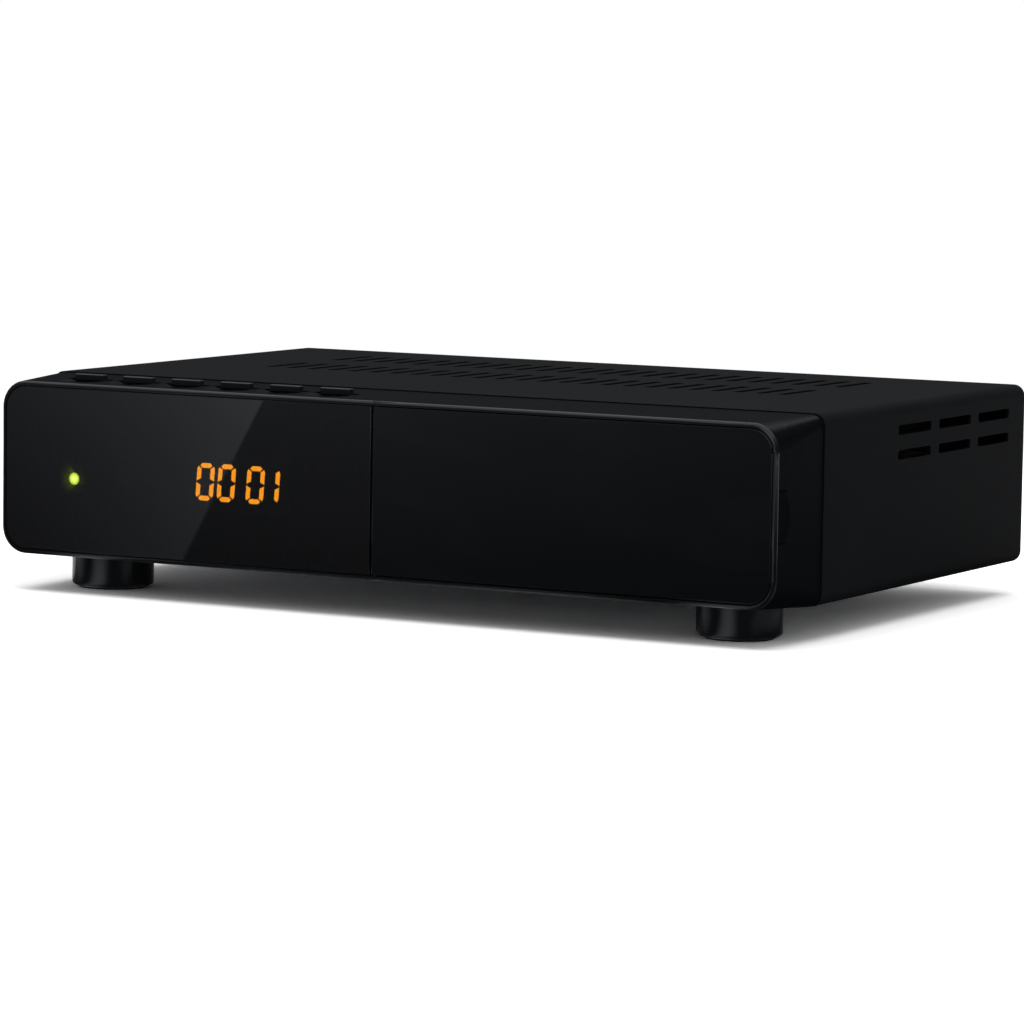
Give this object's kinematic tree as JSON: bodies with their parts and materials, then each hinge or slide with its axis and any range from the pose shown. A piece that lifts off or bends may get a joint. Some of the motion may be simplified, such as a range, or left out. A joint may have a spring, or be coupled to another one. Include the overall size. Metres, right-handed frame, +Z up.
{
  "type": "satellite television receiver",
  "caption": "Flat set-top receiver with a slotted steel cover, a display window, a hinged front flap, a row of push keys on top and round feet.",
  "frame": {"origin": "middle of the whole part in plan, on the surface that the feet stand on", "axes": "+X to the right seen from the front, +Y towards the rear, +Z up"},
  "size_m": [0.22, 0.1556, 0.0553],
  "materials": {
    "cover_paint": "matt, finely textured",
    "tray_steel": "zinc plated, satin",
    "bezel_plastic": "satin moulded",
    "window_acrylic": "polished smoked",
    "flap_gloss": "polished",
    "flap_back": "moulded",
    "key_plastic": "satin",
    "plunger_plastic": "moulded",
    "component_plastic": "moulded",
    "lit_segment": "lit amber",
    "lamp_lens": "lit green",
    "board_laminate": "solder resist",
    "insulating_film": "translucent film",
    "screening_tin": "tinned",
    "plated_connector": "nickel plated",
    "white_insert": "moulded",
    "sink_aluminium": "extruded",
    "capacitor_sleeve": "shrink sleeve",
    "fuse_glass": "clear with plated ends",
    "wire_cover": "flexible insulation",
    "foot_plastic": "satin gloss",
    "pad_rubber": "matt",
    "screw_steel": "plated",
    "screw_black": "blackened"
  },
  "bodies": {
    "chassis": {"aerial_insulators": "white_insert", "audio_jack": "component_plastic", "audio_jack_sleeve": "plated_connector", "audio_video_socket": "component_plastic", "base_tray": "tray_steel", "board_headers": "white_insert", "board_screws": "screw_steel", "bulk_capacitor": "capacitor_sleeve", "connector_nuts": "plated_connector", "cover_screws": "screw_black", "data_socket": "screening_tin", "decoder_chip": "component_plastic", "decoder_heat_sink": "sink_aluminium", "digital_video_socket": "screening_tin", "display_digits": "lit_segment", "display_module": "component_plastic", "display_window": "window_acrylic", "feet": "foot_plastic", "foot_pads": "pad_rubber", "foot_screws": "screw_steel", "front_bezel": "bezel_plastic", "front_board": "board_laminate", "inlet_pins": "plated_connector", "insulating_sheet": "insulating_film", "ir_receiver": "component_plastic", "key_switches": "component_plastic", "lnb_input_connector": "plated_connector", "lnb_loop_connector": "plated_connector", "main_board": "board_laminate", "main_capacitors": "capacitor_sleeve", "mains_choke": "component_plastic", "mains_fuse": "fuse_glass", "mains_inlet": "component_plastic", "memory_chips": "component_plastic", "output_capacitors": "capacitor_sleeve", "power_board": "board_laminate", "power_coils": "component_plastic", "power_heat_sink": "sink_aluminium", "ribbon_cable": "wire_cover", "socket_tongues": "component_plastic", "standoffs": "tray_steel", "status_led": "lamp_lens", "supply_wires": "wire_cover", "top_cover": "cover_paint", "transformer": "component_plastic", "tuner_can": "screening_tin"},
    "flap": {"flap_panel": "flap_gloss", "flap_carrier": "flap_back"},
    "standby_button": {"standby_key": "key_plastic", "standby_plunger": "plunger_plastic"},
    "menu_button": {"menu_key": "key_plastic", "menu_plunger": "plunger_plastic"},
    "ok_button": {"ok_key": "key_plastic", "ok_plunger": "plunger_plastic"},
    "channel_down_button": {"channel_down_key": "key_plastic", "channel_down_plunger": "plunger_plastic"},
    "channel_up_button": {"channel_up_key": "key_plastic", "channel_up_plunger": "plunger_plastic"},
    "source_button": {"source_key": "key_plastic", "source_plunger": "plunger_plastic"}
  },
  "joints": [
    {"name": "flap_hinge", "type": "hinge", "parent": "chassis", "child": "flap", "pos_m": [0.00075, -0.07695, 0.0316], "axis": [0, 0, -1], "range_deg": [0, 90]},
    {"name": "standby_press", "type": "slide", "parent": "chassis", "child": "standby_button", "axis": [0, 0, -1], "range_m": [0, 0.0005], "stiffness_N_per_m": 2400, "springref_m": -0.00015},
    {"name": "menu_press", "type": "slide", "parent": "chassis", "child": "menu_button", "axis": [0, 0, -1], "range_m": [0, 0.0005], "stiffness_N_per_m": 2400, "springref_m": -0.00015},
    {"name": "ok_press", "type": "slide", "parent": "chassis", "child": "ok_button", "axis": [0, 0, -1], "range_m": [0, 0.0005], "stiffness_N_per_m": 2400, "springref_m": -0.00015},
    {"name": "channel_down_press", "type": "slide", "parent": "chassis", "child": "channel_down_button", "axis": [0, 0, -1], "range_m": [0, 0.0005], "stiffness_N_per_m": 2400, "springref_m": -0.00015},
    {"name": "channel_up_press", "type": "slide", "parent": "chassis", "child": "channel_up_button", "axis": [0, 0, -1], "range_m": [0, 0.0005], "stiffness_N_per_m": 2400, "springref_m": -0.00015},
    {"name": "source_press", "type": "slide", "parent": "chassis", "child": "source_button", "axis": [0, 0, -1], "range_m": [0, 0.0005], "stiffness_N_per_m": 2400, "springref_m": -0.00015}
  ]
}
